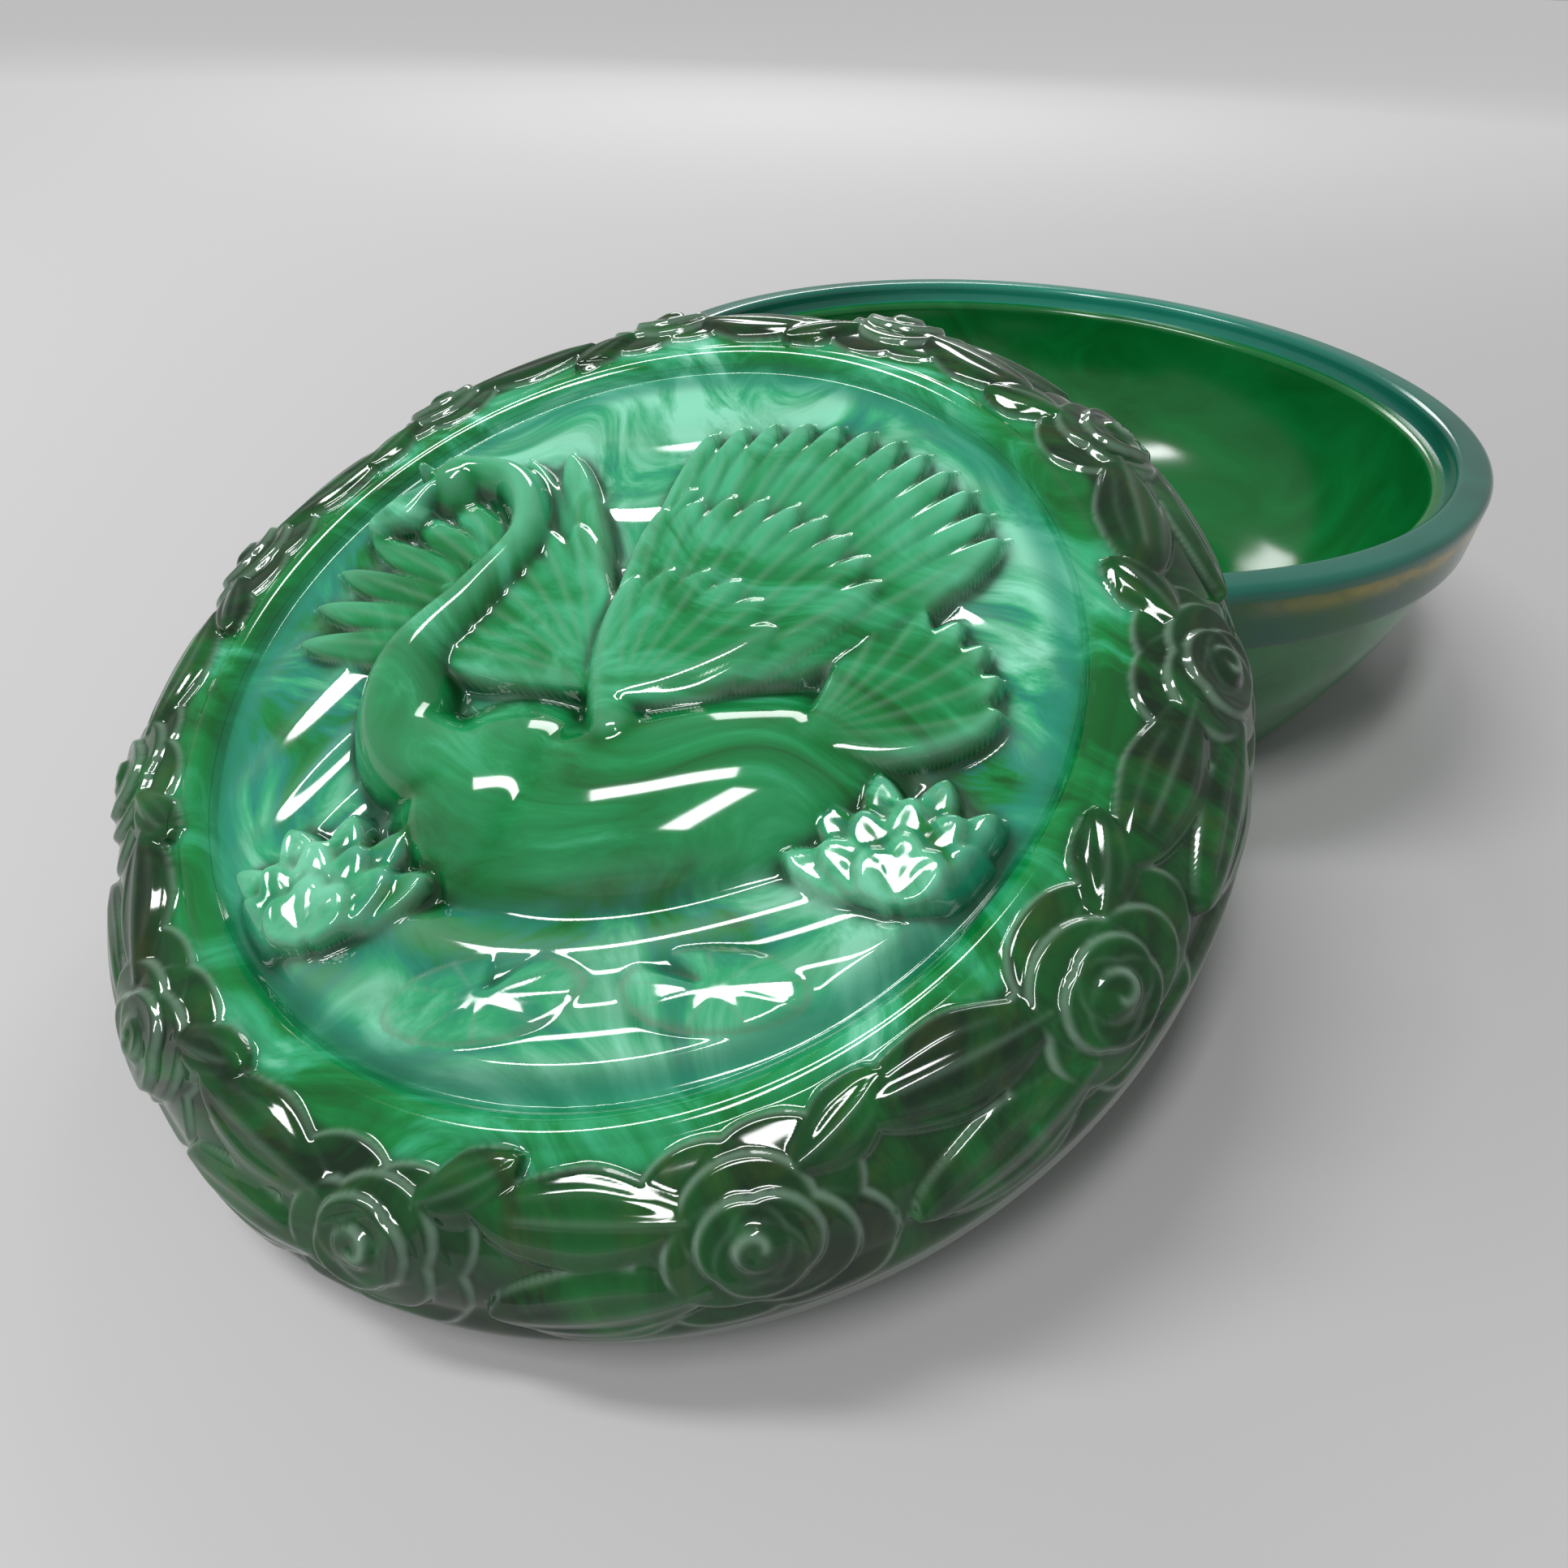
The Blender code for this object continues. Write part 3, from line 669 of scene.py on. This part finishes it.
def build_garland(context, around=640, across=132):
    """Outer part of the lid in four quarters: a closed profile carried round the axis, raised by roses.

    Each point of the top profile moves out along the profile's normal by the relief at its distance
    along the shoulder (across) and round it (along). The relief fades out at the ring and the skirt.
    """
    bowl, lid, colours, _ = settings(context)
    top, distance = resample(garland_ground(bowl, lid), across)
    tangent = np.gradient(top, axis=0)
    normal = np.stack([-tangent[:, 1], tangent[:, 0]], 1)
    normal /= np.linalg.norm(normal, axis=1)[:, None]
    ring_end = lid.garland_radius - seam_radius(lid)
    skirt_end = distance[np.argmax(top[:, 0] > lid_radius(bowl, lid) - 0.0001)]
    band_middle = 0.5 * (ring_end + skirt_end)
    reach = 0.5 * (skirt_end - ring_end) / MM
    mean_radius = np.interp(band_middle, distance, top[:, 0])
    pitch = 2 * math.pi * mean_radius / lid.rose_count / MM
    under = lid_underside(bowl, lid)
    turn, middle = lid_frame(lid)
    material = lid_glass(colours)
    start = lid.rose_phase - math.pi / lid.rose_count * 1.35
    made = []
    for quarter, name in enumerate(GARLAND_PIECES):
        steps = np.arange(-SEAM_EXTRA, around + SEAM_EXTRA) / (around - 1)
        theta = start + math.pi / 2 * (quarter + steps)
        along = (theta - lid.rose_phase) * mean_radius / MM
        xx, yy = np.meshgrid(along, (band_middle - distance) / MM, indexing="ij")
        relief = garland_relief(xx, yy, pitch, lid.rose_count)
        keep = ease(-reach - 0.3, -reach + 1.4, yy) * ease(reach + 1.6, reach + 0.6, yy)
        height = running_mean(relief.height, MELT_PASSES) * keep
        ridge = running_mean(relief.ridge, EDGE_PASSES) * keep
        groove, crest = grooves_and_crests(height)
        grids = (theta, yy, height, ridge, groove, crest)
        own = slice(SEAM_EXTRA, SEAM_EXTRA + around)
        theta, yy, height, ridge, groove, crest = (grid[own] for grid in grids)
        radius = top[:, 0] + normal[:, 0] * height * MM
        z = top[:, 1] + normal[:, 1] * height * MM
        radius = np.concatenate([radius, np.broadcast_to(under[:, 0], (around, len(under)))], 1)
        z = np.concatenate([z, np.broadcast_to(under[:, 1], (around, len(under)))], 1)
        local = np.stack([radius * np.cos(theta)[:, None], radius * np.sin(theta)[:, None], z], -1)
        local = local.reshape(-1, 3)
        loop = across + len(under)
        ends = [list(range(loop)), list(range((around - 1) * loop, around * loop))[::-1]]
        faces = grid_faces(around, loop, False, True).tolist() + ends
        pad = np.zeros((around, len(under)))
        cover = np.maximum(ease(0.05, 0.5, height), ease(reach - 2.0, reach - 4.0, yy))
        masks = {"ridge": ridge, "groove": groove, "crest": crest, "garland": cover}
        attributes = {key: np.concatenate([grid, pad], 1).ravel() for key, grid in masks.items()}
        attributes["body"] = np.full(len(local), 0.5)
        attributes["ring"] = ring_mask(lid, radius.ravel())
        attributes["flow"] = local * FLOW_SCALE
        placed = local @ turn.T + middle
        made.append(new_object(name, placed, faces, material, attributes, LID_CREASE))
    return made


def bowl_profile(bowl):
    """Profile from the inside's middle over the rim to the base: inside, rim, band and body.

    The inside is level as far as inside_flat and then rises to the ledge as a squared ellipse.
    """
    seat = bowl.rim_radius - bowl.rim_width
    ledge = seat - bowl.seat_ledge
    ledge_height = bowl.height - bowl.seat_depth
    r = bowl.rim_round
    small = bowl.seat_ledge * 0.5
    band_foot = bowl.height - bowl.band_height
    body_top = bowl.rim_radius - bowl.band_step
    out = np.concatenate([np.linspace(0.0, 0.9, 50), 1.0 - 0.1 * np.linspace(1.0, 0.0, 24)[1:] ** 2])
    share = np.clip((out * ledge - bowl.inside_flat) / (ledge - bowl.inside_flat), 0.0, 1.0)
    lift = 1.0 - np.maximum(1.0 - share ** 3.3, 0.0) ** (1 / 1.8)
    dish = np.stack([out * ledge, bowl.floor_thickness + (ledge_height - bowl.floor_thickness) * lift], 1)
    wall = [(seat - small * 0.4, ledge_height + small * 0.9), (seat, ledge_height + small * 2.0),
            (seat, bowl.height - small * 1.6)]
    step = arc((ledge + small, ledge_height - small * 0.2), (small, small), 180, 90, 5)
    inside = np.vstack([dish[:-1], step])
    rim = np.vstack([wall, arc((seat + small, bowl.height - small), (small, small), 180, 90, 6),
                     arc((bowl.rim_radius - r, bowl.height - r), (r, r), 90, 0, 9)])
    share = np.linspace(0.0, 1.0, 26)
    taper = body_top + (bowl.foot_radius - body_top) * share + bowl.body_bulge * np.sin(math.pi * share)
    start = band_foot - r * 0.2
    body = np.stack([taper, start + (bowl.foot_round - start) * share], 1)
    levels = np.linspace(bowl.height - r * 1.6, band_foot + r, 15)
    band = np.vstack([np.stack([np.full(len(levels), bowl.rim_radius), levels], 1),
                      arc((bowl.rim_radius - r / 2, band_foot + r / 2), (r / 2, r / 2), 0, -90, 5)])
    base = [(bowl.foot_radius - bowl.foot_round, 0.0), (bowl.foot_radius * 0.6, 0.0), (0.0, 0.0)]
    return inside, rim, band, np.vstack([body, base])


def build_bowl(context, around=288):
    """Bowl: a profile turned round the axis, with the faint unevenness of pressed glass.

    The radius of each point swells by a few hundredths of a millimetre with two and five waves round.
    Zones count the profile's stretches, and a mask is 1 on its own stretch.
    """
    bowl, _, colours, _ = settings(context)
    stretches = bowl_profile(bowl)
    zone = np.repeat([0.0, 1.0, 2.0, 3.0], [len(stretch) for stretch in stretches])[1:-1]
    profile = np.vstack(stretches)[1:-1]
    theta = 2 * math.pi * np.arange(around) / around
    wave = sum(height * np.sin(count * theta + phase) for count, phase, height in BOWL_WAVES)
    radius = profile[:, 0] * (1.0 + wave[:, None] / bowl.rim_radius) - BOWL_INSET
    local = np.stack([radius * np.cos(theta)[:, None], radius * np.sin(theta)[:, None],
                      np.broadcast_to(profile[:, 1], radius.shape)], -1).reshape(-1, 3)
    rows, count = len(profile), len(local)
    poles = [(0.0, 0.0, bowl.floor_thickness), (0.0, 0.0, 0.0)]
    first = np.arange(around) * rows
    last = first + rows - 1
    faces = grid_faces(around, rows, True, False).tolist()
    faces += np.stack([np.full(around, count), first, np.roll(first, -1)], 1).tolist()
    faces += np.stack([np.full(around, count + 1), np.roll(last, -1), last], 1).tolist()
    points = np.vstack([local, poles])
    zone = np.concatenate([np.tile(zone, around), [0.0, 3.0]])
    band = ease(1.5, 2.0, zone) * ease(3.0, 2.5, zone)
    # Painted glint: a patch of warm yellow on the band below the rim, over a range of bearings.
    bearing = np.arctan2(points[:, 1], points[:, 0])
    share = (bearing - bowl.gold_start) / (bowl.gold_end - bowl.gold_start)
    level = (points[:, 2] - bowl.height + bowl.gold_drop) / bowl.gold_height
    attributes = {"rim": ease(0.5, 1.0, zone) * ease(2.0, 1.5, zone),
                  "band": band,
                  "gold": band * ease(0.0, 0.75, share) * ease(1.0, 0.88, share) * np.exp(-level ** 2),
                  "body": ease(2.5, 3.0, zone),
                  "flow": points * FLOW_SCALE}
    return new_object("glass_bowl", points, faces, bowl_glass(colours), attributes, BOWL_CREASE)


# Materials

def put(tree, kind, place, **values):
    """Add a node and set its named inputs."""
    node = tree.nodes.new(kind)
    node.location = place
    for key, value in values.items():
        node.inputs[key.replace("_", " ")].default_value = value
    return node


def feed(tree, socket, value):
    """Link an input to another node's socket, or set it to a plain value."""
    if hasattr(value, "is_linked"):
        tree.links.new(value, socket)
    else:
        socket.default_value = value


def math_node(tree, operation, a, b, place):
    """Math node on two sockets or numbers."""
    node = put(tree, "ShaderNodeMath", place)
    node.operation = operation
    for socket, value in zip(node.inputs, (a, b)):
        feed(tree, socket, value)
    return node.outputs[0]


def vector_node(tree, operation, place, **sources):
    """Vector Math node with its first vector and, by name, its second vector or scale linked."""
    node = put(tree, "ShaderNodeVectorMath", place)
    node.operation = operation
    inputs = {"first": 0, "second": 1, "scale": "Scale"}
    for key, source in sources.items():
        tree.links.new(source, node.inputs[inputs[key]])
    return node.outputs["Value" if operation == "LENGTH" else "Vector"]


def ramp(tree, value, stops, place):
    """Colour ramp with the given positions and colours."""
    node = put(tree, "ShaderNodeValToRGB", place)
    points = node.color_ramp.elements
    while len(points) < len(stops):
        points.new(0.5)
    for point, (position, shade) in zip(points, stops):
        point.position = position
        point.color = (*shade, 1.0)
    tree.links.new(value, node.inputs["Fac"])
    return node.outputs["Color"]


def mix(tree, share, below, above, place):
    """Mix two colours by a share."""
    node = put(tree, "ShaderNodeMix", place)
    node.data_type = "RGBA"
    for name, value in (("Factor", share), ("A", below), ("B", above)):
        if name != "Factor" and not hasattr(value, "is_linked"):
            value = (*value, 1.0)
        feed(tree, next(s for s in node.inputs if s.name == name and s.enabled), value)
    return next(s for s in node.outputs if s.enabled)


def malachite_group():
    """Shared swirl of malachite glass: streaks drawn out along a warped flow, broad patches, flecks."""
    name = "malachite_swirl"
    if name in bpy.data.node_groups:
        return bpy.data.node_groups[name]
    group = bpy.data.node_groups.new(name, "ShaderNodeTree")
    face = group.interface
    face.new_socket("Flow", in_out="INPUT", socket_type="NodeSocketVector")
    for label, default in (("Scale", 1.0), ("Warp", 0.5)):
        face.new_socket(label, in_out="INPUT", socket_type="NodeSocketFloat").default_value = default
    for label in SWIRL_OUTPUTS:
        face.new_socket(label, in_out="OUTPUT", socket_type="NodeSocketFloat")
    start = put(group, "NodeGroupInput", (-900, 0))
    end = put(group, "NodeGroupOutput", (900, 0))
    flow, scale, warp = (start.outputs[label] for label in ("Flow", "Scale", "Warp"))
    sized = vector_node(group, "SCALE", (-700, 0), first=flow, scale=scale)
    bend = put(group, "ShaderNodeTexNoise", (-500, -200), Scale=1.6, Detail=2.0)
    group.links.new(sized, bend.inputs["Vector"])
    push = vector_node(group, "SCALE", (-300, -200), first=bend.outputs["Color"], scale=warp)
    moved = vector_node(group, "ADD", (-120, 0), first=sized, second=push)
    drawn = put(group, "ShaderNodeMapping", (60, 0), Rotation=(0.0, 0.0, 0.9), Scale=(1.0, 3.8, 2.0))
    group.links.new(moved, drawn.inputs["Vector"])
    streak = put(group, "ShaderNodeTexNoise", (260, 120), Scale=2.8, Detail=6.0, Roughness=0.58,
                 Distortion=0.9)
    patch = put(group, "ShaderNodeTexNoise", (260, -120), Scale=1.3, Detail=3.0, Distortion=0.5)
    fleck = put(group, "ShaderNodeTexNoise", (260, -360), Scale=15.0, Detail=3.0, Roughness=0.6)
    group.links.new(drawn.outputs[0], streak.inputs["Vector"])
    group.links.new(moved, patch.inputs["Vector"])
    group.links.new(moved, fleck.inputs["Vector"])
    for node, label in zip((streak, patch, fleck), SWIRL_OUTPUTS):
        group.links.new(node.outputs["Fac"], end.inputs[label])
    return group


def glass_material(name, roughness, scale, warp):
    """Start of a glass material: the tree, the shader and the outputs of a swirl along the flow."""
    material = bpy.data.materials.new(name)
    material.use_nodes = True
    tree = material.node_tree
    shader = tree.nodes["Principled BSDF"]
    shader.location = (1300, 0)
    tree.nodes["Material Output"].location = (1600, 0)
    shader.inputs["IOR"].default_value = GLASS_IOR
    shader.inputs["Roughness"].default_value = roughness
    swirl = put(tree, "ShaderNodeGroup", (-450, 200))
    swirl.node_tree = malachite_group()
    swirl.inputs["Scale"].default_value = scale
    swirl.inputs["Warp"].default_value = warp
    tree.links.new(mask(tree, "flow", (-700, 200), "Vector"), swirl.inputs["Flow"])
    streak, patch, fleck = (swirl.outputs[label] for label in SWIRL_OUTPUTS)
    return material, tree, shader, streak, patch, fleck


def mask(tree, name, place, output="Fac"):
    """Value, or vector, of one of the piece's own point attributes."""
    node = put(tree, "ShaderNodeAttribute", place)
    node.attribute_name = name
    return node.outputs[output]


def lid_glass(colours):
    """Lid: mint field with soft drawn streaks, emerald relief and ring, dark garland with pale edges of
    wear and painted highlight, painted shade in the grooves and painted highlight on the crests.
    """
    name = "lid_malachite"
    if name in bpy.data.materials:
        return bpy.data.materials[name]
    material, tree, shader, streak, patch, fleck = glass_material(name, colours.roughness, 1.15, 0.75)
    clouded = math_node(tree, "ADD", math_node(tree, "MULTIPLY", streak, 0.62, (-280, 460)),
                        math_node(tree, "MULTIPLY", patch, 0.38, (-280, 380)), (-180, 420))
    field = ramp(tree, clouded, ((0.38, colours.deep), (0.43, colours.emerald), (0.475, colours.teal),
                                 (0.52, colours.jade), (0.60, colours.mint)), (-100, 420))
    thick = ramp(tree, clouded, ((0.36, colours.deep), (0.50, colours.emerald),
                                 (0.62, colours.jade)), (-100, 160))
    band = ramp(tree, clouded, ((0.40, colours.deep), (0.50, colours.emerald), (0.58, colours.jade),
                                (0.68, colours.mint)), (-100, -60))
    dark = ramp(tree, streak, ((0.40, colours.bottle), (0.66, colours.deep),
                               (0.84, colours.emerald)), (-100, -380))
    spots = ramp(tree, fleck, ((0.52, BLACK), (0.70, WHITE)), (-100, -620))
    spots = math_node(tree, "MULTIPLY", spots, 0.22, (160, -620))
    dark = mix(tree, spots, dark, colours.olive, (300, -420))
    body = math_node(tree, "MULTIPLY", mask(tree, "body", (-700, -60)), 0.92, (-300, -60))
    tone = mix(tree, body, field, thick, (200, 300))
    # Painted highlight: raised crests are lightened towards mint.
    crest_highlight = math_node(tree, "MULTIPLY", mask(tree, "crest", (-700, -520)), 0.30, (160, 60))
    tone = mix(tree, crest_highlight, tone, colours.mint, (300, 280))
    ring = mask(tree, "ring", (-700, -150))
    tone = mix(tree, ring, tone, band, (400, 260))
    inner = math_node(tree, "SUBTRACT", 1.0, ring, (-500, -150))
    lip = math_node(tree, "MULTIPLY", ring, inner, (-340, -150))
    lip = math_node(tree, "MULTIPLY", lip, 2.6, (-200, -180))
    tone = mix(tree, lip, tone, colours.teal, (480, 220))
    tone = mix(tree, mask(tree, "garland", (-700, -240)), tone, dark, (600, 160))
    # Painted shade: the grooves of the relief are darkened towards bottle green.
    shade = math_node(tree, "MULTIPLY", mask(tree, "groove", (-700, -600)), 0.85, (560, 20))
    tone = mix(tree, shade, tone, colours.bottle, (720, 140))
    # Pale edges: wear on the ridges together with painted highlight along them.
    edges = math_node(tree, "MULTIPLY", mask(tree, "ridge", (-700, -420)), 0.80, (560, -160))
    tone = mix(tree, edges, tone, colours.ridge, (820, 120))
    tree.links.new(tone, shader.inputs["Base Color"])
    return material


def bowl_glass(colours):
    """Bowl: emerald inside with soft dark clouds, teal rim, a painted glint of warm yellow light on the
    band, and a body painted paler as a reflection of the floor.
    """
    material, tree, shader, streak, patch, fleck = glass_material("bowl_malachite",
                                                                  colours.bowl_roughness, 0.8, 0.6)
    inside = ramp(tree, streak, ((0.30, colours.deep), (0.95, colours.emerald)), (-100, 360))
    # Painted reflection: the lower body is painted paler, up to jade, as a reflection of the floor.
    body = ramp(tree, streak, ((0.30, colours.deep), (0.56, colours.emerald),
                               (0.90, colours.jade)), (-100, 120))
    tone = mix(tree, mask(tree, "body", (-700, -60)), inside, body, (200, 240))
    # Painted glint of warm yellow light on the band.
    band = ramp(tree, streak, ((0.36, colours.deep), (0.62, colours.rim)), (-100, -480))
    uneven = ramp(tree, fleck, ((0.38, (0.35, 0.35, 0.35)), (0.60, WHITE)), (-100, -360))
    gold = math_node(tree, "MULTIPLY", mask(tree, "gold", (-700, -330)), uneven, (200, -360))
    band = mix(tree, gold, band, colours.gold, (300, -300))
    tone = mix(tree, mask(tree, "band", (-700, -150)), tone, band, (420, 200))
    edge = ramp(tree, patch, ((0.36, colours.rim), (0.66, colours.teal)), (-100, -120))
    tone = mix(tree, mask(tree, "rim", (-700, -240)), tone, edge, (640, 160))
    tree.links.new(tone, shader.inputs["Base Color"])
    return material


# Stage

def area_lamp(name, power, size, place):
    """Rectangular soft lamp aimed at the lid."""
    data = bpy.data.lights.new(name, "AREA")
    data.shape = "RECTANGLE"
    data.size, data.size_y = size
    data.energy = power
    lamp = bpy.data.objects.new(name, data)
    lamp.location = place
    lamp.rotation_euler = (Vector(LAMP_AIM) - Vector(place)).to_track_quat("-Z", "Y").to_euler()
    bpy.context.scene.collection.objects.link(lamp)


def seen_rays(tree, place):
    """Two masks: rays that carry the picture or a mirror image of it, and rays that pass through."""
    path = put(tree, "ShaderNodeLightPath", place)
    direct, mirrored = path.outputs["Is Camera Ray"], path.outputs["Is Glossy Ray"]
    seen = math_node(tree, "ADD", direct, mirrored, (place[0] + 200, place[1]))
    return seen, path.outputs["Is Transmission Ray"]


def build_floor(stage):
    """Plain pale floor under the object, whose far part glows as much as the lamps fall off there."""
    corners = np.array([(-1, -1, 0), (1, -1, 0), (1, 1, 0), (-1, 1, 0)]) * FLOOR_REACH
    material = bpy.data.materials.new("floor_paper")
    material.use_nodes = True
    tree = material.node_tree
    shader = tree.nodes["Principled BSDF"]
    shader.inputs["Base Color"].default_value = (*stage.floor, 1.0)
    shader.inputs["Roughness"].default_value = 0.9
    shader.inputs["Emission Color"].default_value = (*WHITE, 1.0)
    ground = put(tree, "ShaderNodeTexCoord", (-700, 0))
    away = vector_node(tree, "LENGTH", (-500, 0), first=ground.outputs["Object"])
    rising = put(tree, "ShaderNodeMapRange", (-300, 0), From_Min=GLOW_START, From_Max=GLOW_FULL,
                 To_Min=0.0, To_Max=stage.far)
    tree.links.new(away, rising.inputs["Value"])
    seen, _ = seen_rays(tree, (-500, -300))
    glow = math_node(tree, "MULTIPLY", rising.outputs["Result"], seen, (-100, -200))
    tree.links.new(glow, shader.inputs["Emission Strength"])
    floor = new_object("floor", corners, [(0, 1, 2, 3)], material, {})
    floor.location.z = -FLOOR_DROP


def build_world(stage):
    """Even light from all round, with a paler backdrop for the rays that carry the picture."""
    world = bpy.data.worlds.new("studio")
    world.use_nodes = True
    tree = world.node_tree
    background = tree.nodes["Background"]
    seen, through = seen_rays(tree, (-800, 0))
    seen = math_node(tree, "ADD", seen, through, (-450, 0))
    extra = math_node(tree, "MULTIPLY", seen, stage.backdrop - stage.world, (-300, 0))
    level = math_node(tree, "ADD", extra, stage.world, (-150, 0))
    background.inputs["Color"].default_value = (*WHITE, 1.0)
    tree.links.new(level, background.inputs["Strength"])
    return world


def build_camera(stage):
    """Camera with the photograph's place, heading and focal length."""
    sa, ca = math.sin(stage.azimuth), math.cos(stage.azimuth)
    se, ce = math.sin(stage.elevation), math.cos(stage.elevation)
    forward = Vector((sa * ce, ca * ce, -se))
    right = Vector((ca, -sa, 0.0))
    down = forward.cross(right)
    cr, sr = math.cos(stage.roll), math.sin(stage.roll)
    right, down = right * cr - down * sr, right * sr + down * cr
    data = bpy.data.cameras.new("photo_camera")
    data.sensor_width = SENSOR_WIDTH
    data.lens = stage.focal / PHOTO_SIDE * SENSOR_WIDTH
    data.clip_start = 0.005
    camera = bpy.data.objects.new("photo_camera", data)
    turn = Matrix((right, -down, -forward)).transposed().to_4x4()
    camera.matrix_world = Matrix.Translation(stage.place) @ turn
    bpy.context.scene.collection.objects.link(camera)
    bpy.context.scene.camera = camera


class GLASSBOX_OT_bowl(bpy.types.Operator):
    """Build the bowl's surface"""
    bl_idname = "glassbox.bowl"
    bl_label = "Build Bowl"

    def execute(self, context):
        bowl = build_bowl(context)
        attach(bowl, "bowl")
        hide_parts("bowl")
        return {"FINISHED"}


class GLASSBOX_OT_lid(bpy.types.Operator):
    """Build the lid: medallion and garland"""
    bl_idname = "glassbox.lid"
    bl_label = "Build Lid"

    def execute(self, context):
        pieces = [build_medallion(context), *build_garland(context)]
        for piece in pieces:
            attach(piece, "lid")
        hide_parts("lid")
        return {"FINISHED"}


class GLASSBOX_OT_stage(bpy.types.Operator):
    """Build the floor, lamps, world and camera"""
    bl_idname = "glassbox.stage"
    bl_label = "Build Stage"

    def execute(self, context):
        stage = context.scene.glass_stage
        build_floor(stage)
        build_camera(stage)
        for name, setting, size, place in LAMPS:
            area_lamp(name, getattr(stage, setting), size, place)
        context.scene.world = build_world(stage)
        context.scene.view_settings.view_transform = "Standard"
        return {"FINISHED"}


class GLASSBOX_PT_panel(bpy.types.Panel):
    """Buttons that build the box"""
    bl_label = "Malachite Glass Box"
    bl_idname = "GLASSBOX_PT_panel"
    bl_space_type = "VIEW_3D"
    bl_region_type = "UI"
    bl_category = "Glass Box"

    def draw(self, context):
        for operator in OPERATORS:
            self.layout.operator(operator.bl_idname)


GROUPS = {
    "glass_bowl": BowlSettings,
    "glass_lid": LidSettings,
    "glass_colours": GlassSettings,
    "glass_stage": StageSettings,
}
OPERATORS = (GLASSBOX_OT_bowl, GLASSBOX_OT_lid, GLASSBOX_OT_stage)
CLASSES = (*GROUPS.values(), *OPERATORS, GLASSBOX_PT_panel)


def register():
    """Register the classes and hang their settings on the scene."""
    for cls in CLASSES:
        bpy.utils.register_class(cls)
    for name, group in GROUPS.items():
        setattr(bpy.types.Scene, name, bpy.props.PointerProperty(type=group))


def unregister():
    """Take the settings and classes away again."""
    for name in GROUPS:
        delattr(bpy.types.Scene, name)
    for cls in reversed(CLASSES):
        bpy.utils.unregister_class(cls)


def main():
    register()
    bpy.ops.glassbox.bowl()
    bpy.ops.glassbox.lid()
    bpy.ops.glassbox.stage()
    bpy.context.view_layer.update()


if __name__ == "__main__":
    main()
